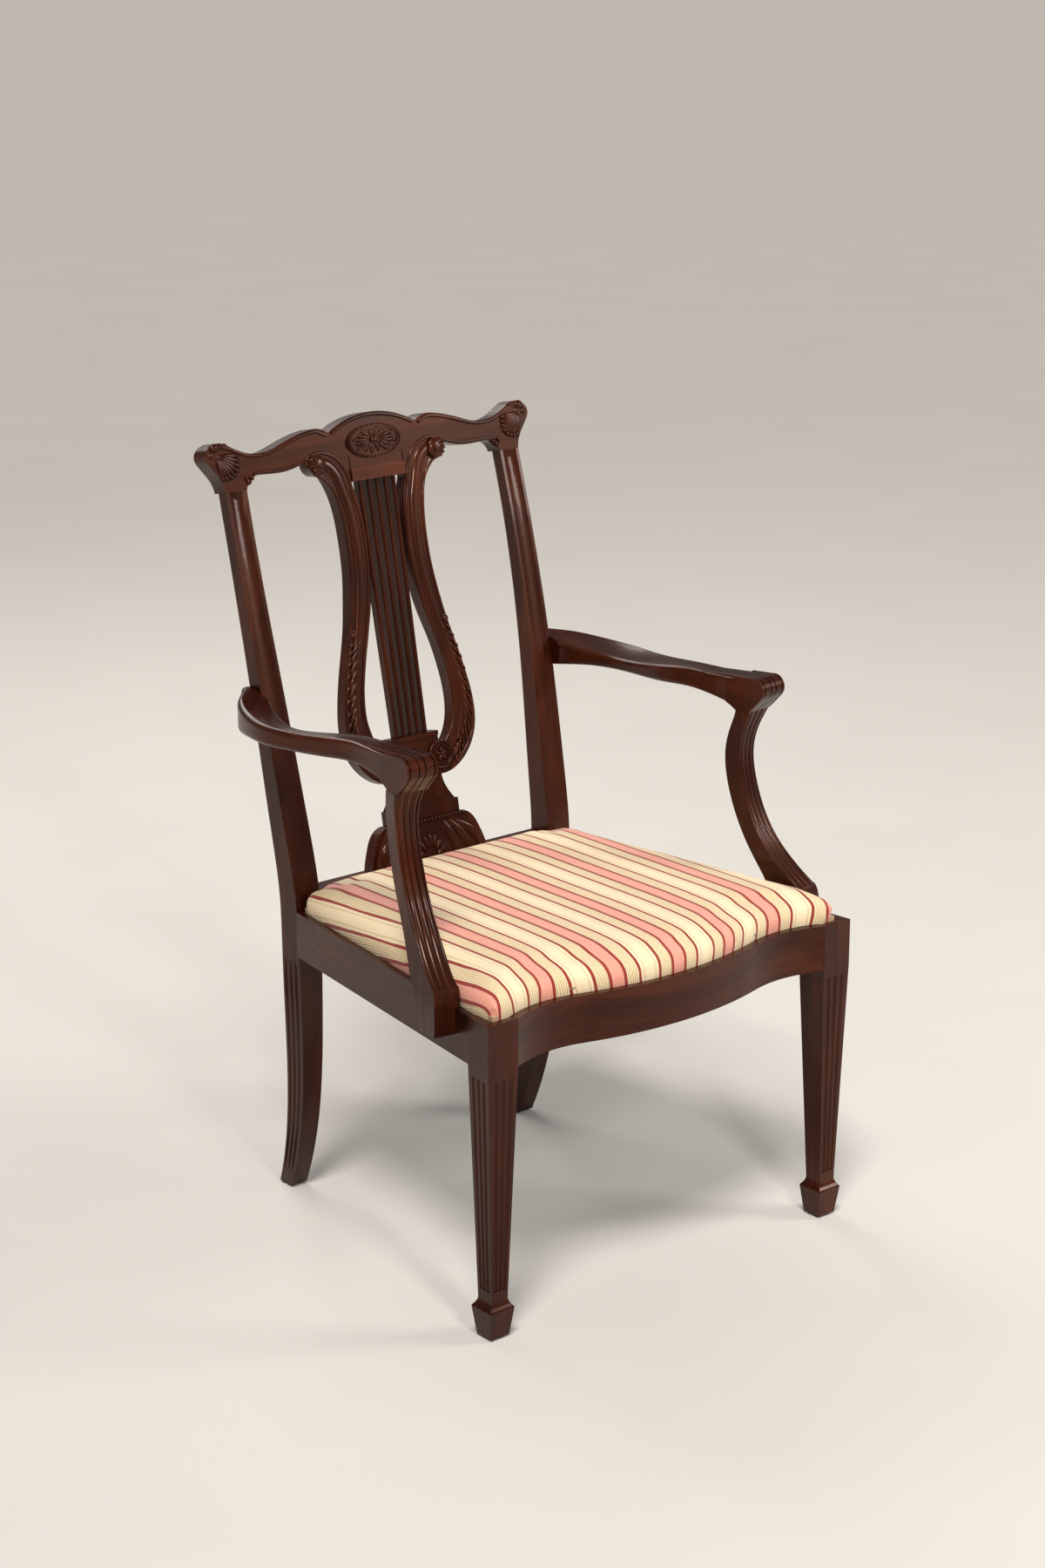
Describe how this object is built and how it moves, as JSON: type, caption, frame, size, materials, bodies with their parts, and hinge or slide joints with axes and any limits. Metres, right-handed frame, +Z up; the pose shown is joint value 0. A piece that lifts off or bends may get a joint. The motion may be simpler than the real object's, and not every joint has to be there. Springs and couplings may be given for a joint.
{
  "type": "armchair",
  "caption": "Open armchair in red-brown wood with a lyre splat, carved yoke crest rail, scrolled arms on curved supports, fluted tapered legs and a striped drop-in seat.",
  "frame": {"origin": "on the floor, under the middle of the chair's bounding box", "axes": "+Z up from the floor, -Y towards the sitter's front, X across the chair"},
  "size_m": [0.6296, 0.6413, 1.003],
  "materials": {
    "mahogany": "satin",
    "inner_wood": "matte",
    "striped_fabric": "matte",
    "padding": "matte",
    "webbing": "matte",
    "dust_cloth": "matte",
    "screw_steel": "satin",
    "glide_nylon": "matte"
  },
  "bodies": {
    "root": {"left_stile": "mahogany", "right_stile": "mahogany", "crest_rail": "mahogany", "lyre_left_arm": "mahogany", "lyre_right_arm": "mahogany", "lyre_bridge": "mahogany", "splat_pedestal": "mahogany", "splat_shoe": "mahogany", "front_seat_rail": "mahogany", "rear_seat_rail": "mahogany", "left_seat_rail": "mahogany", "right_seat_rail": "mahogany", "front_left_leg": "mahogany", "front_right_leg": "mahogany", "left_arm": "mahogany", "right_arm": "mahogany", "left_arm_support": "mahogany", "right_arm_support": "mahogany", "lyre_string_1": "mahogany", "lyre_string_2": "mahogany", "lyre_string_3": "mahogany", "lyre_string_4": "mahogany", "lyre_string_5": "mahogany", "front_left_corner_block": "inner_wood", "front_right_corner_block": "inner_wood", "rear_left_corner_block": "inner_wood", "rear_right_corner_block": "inner_wood", "seat_frame_front": "inner_wood", "seat_frame_rear": "inner_wood", "seat_frame_left": "inner_wood", "seat_frame_right": "inner_wood", "joint_dowels": "inner_wood", "corner_block_screws": "screw_steel", "arm_support_screws": "screw_steel", "seat_screws": "screw_steel", "webbing_cross": "webbing", "webbing_long": "webbing", "seat_pad": "padding", "seat_cover": "striped_fabric", "dust_cover": "dust_cloth", "glides": "glide_nylon"}
  },
  "joints": []
}
